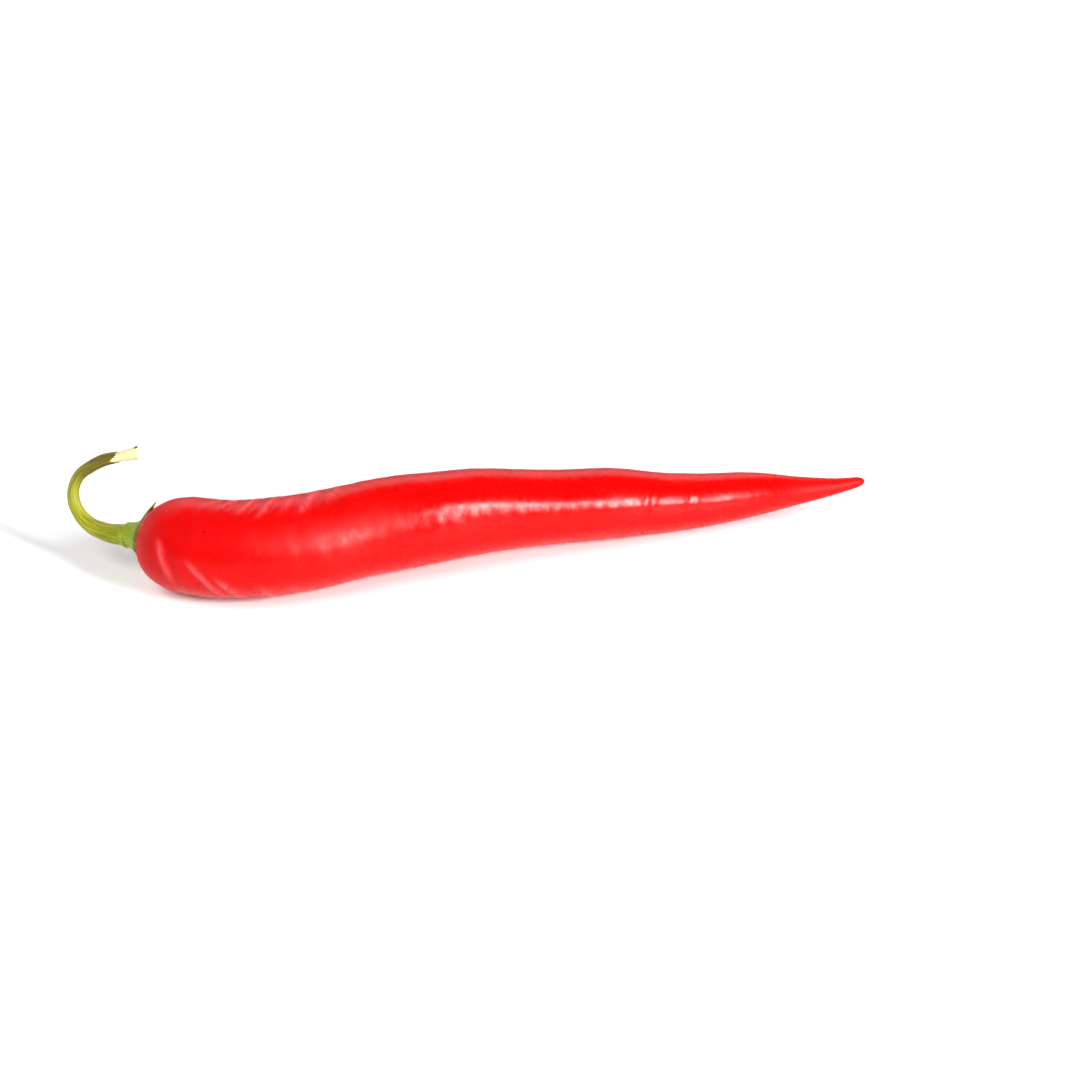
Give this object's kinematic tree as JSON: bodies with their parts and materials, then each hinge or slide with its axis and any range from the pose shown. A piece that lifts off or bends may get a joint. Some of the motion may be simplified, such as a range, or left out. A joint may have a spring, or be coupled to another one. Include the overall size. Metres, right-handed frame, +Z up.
{
  "type": "chilli pepper",
  "caption": "Long, slender red chilli pepper lying on its side, with a rounded shoulder, a tapering glossy pod, a toothed green calyx and a hooked green stem with a torn end.",
  "frame": {"origin": "centre of the bounding box's underside, on the surface that the pepper lies on", "axes": "+X along the pod from its shoulder to its tip, +Y level across it towards the side that the calyx faces, +Z up"},
  "size_m": [0.1594, 0.0352, 0.026],
  "materials": {
    "pod": "gloss",
    "calyx": "satin",
    "stem": "satin"
  },
  "bodies": {
    "root": {"pod": "pod", "calyx": "calyx", "stem": "stem"}
  },
  "joints": []
}
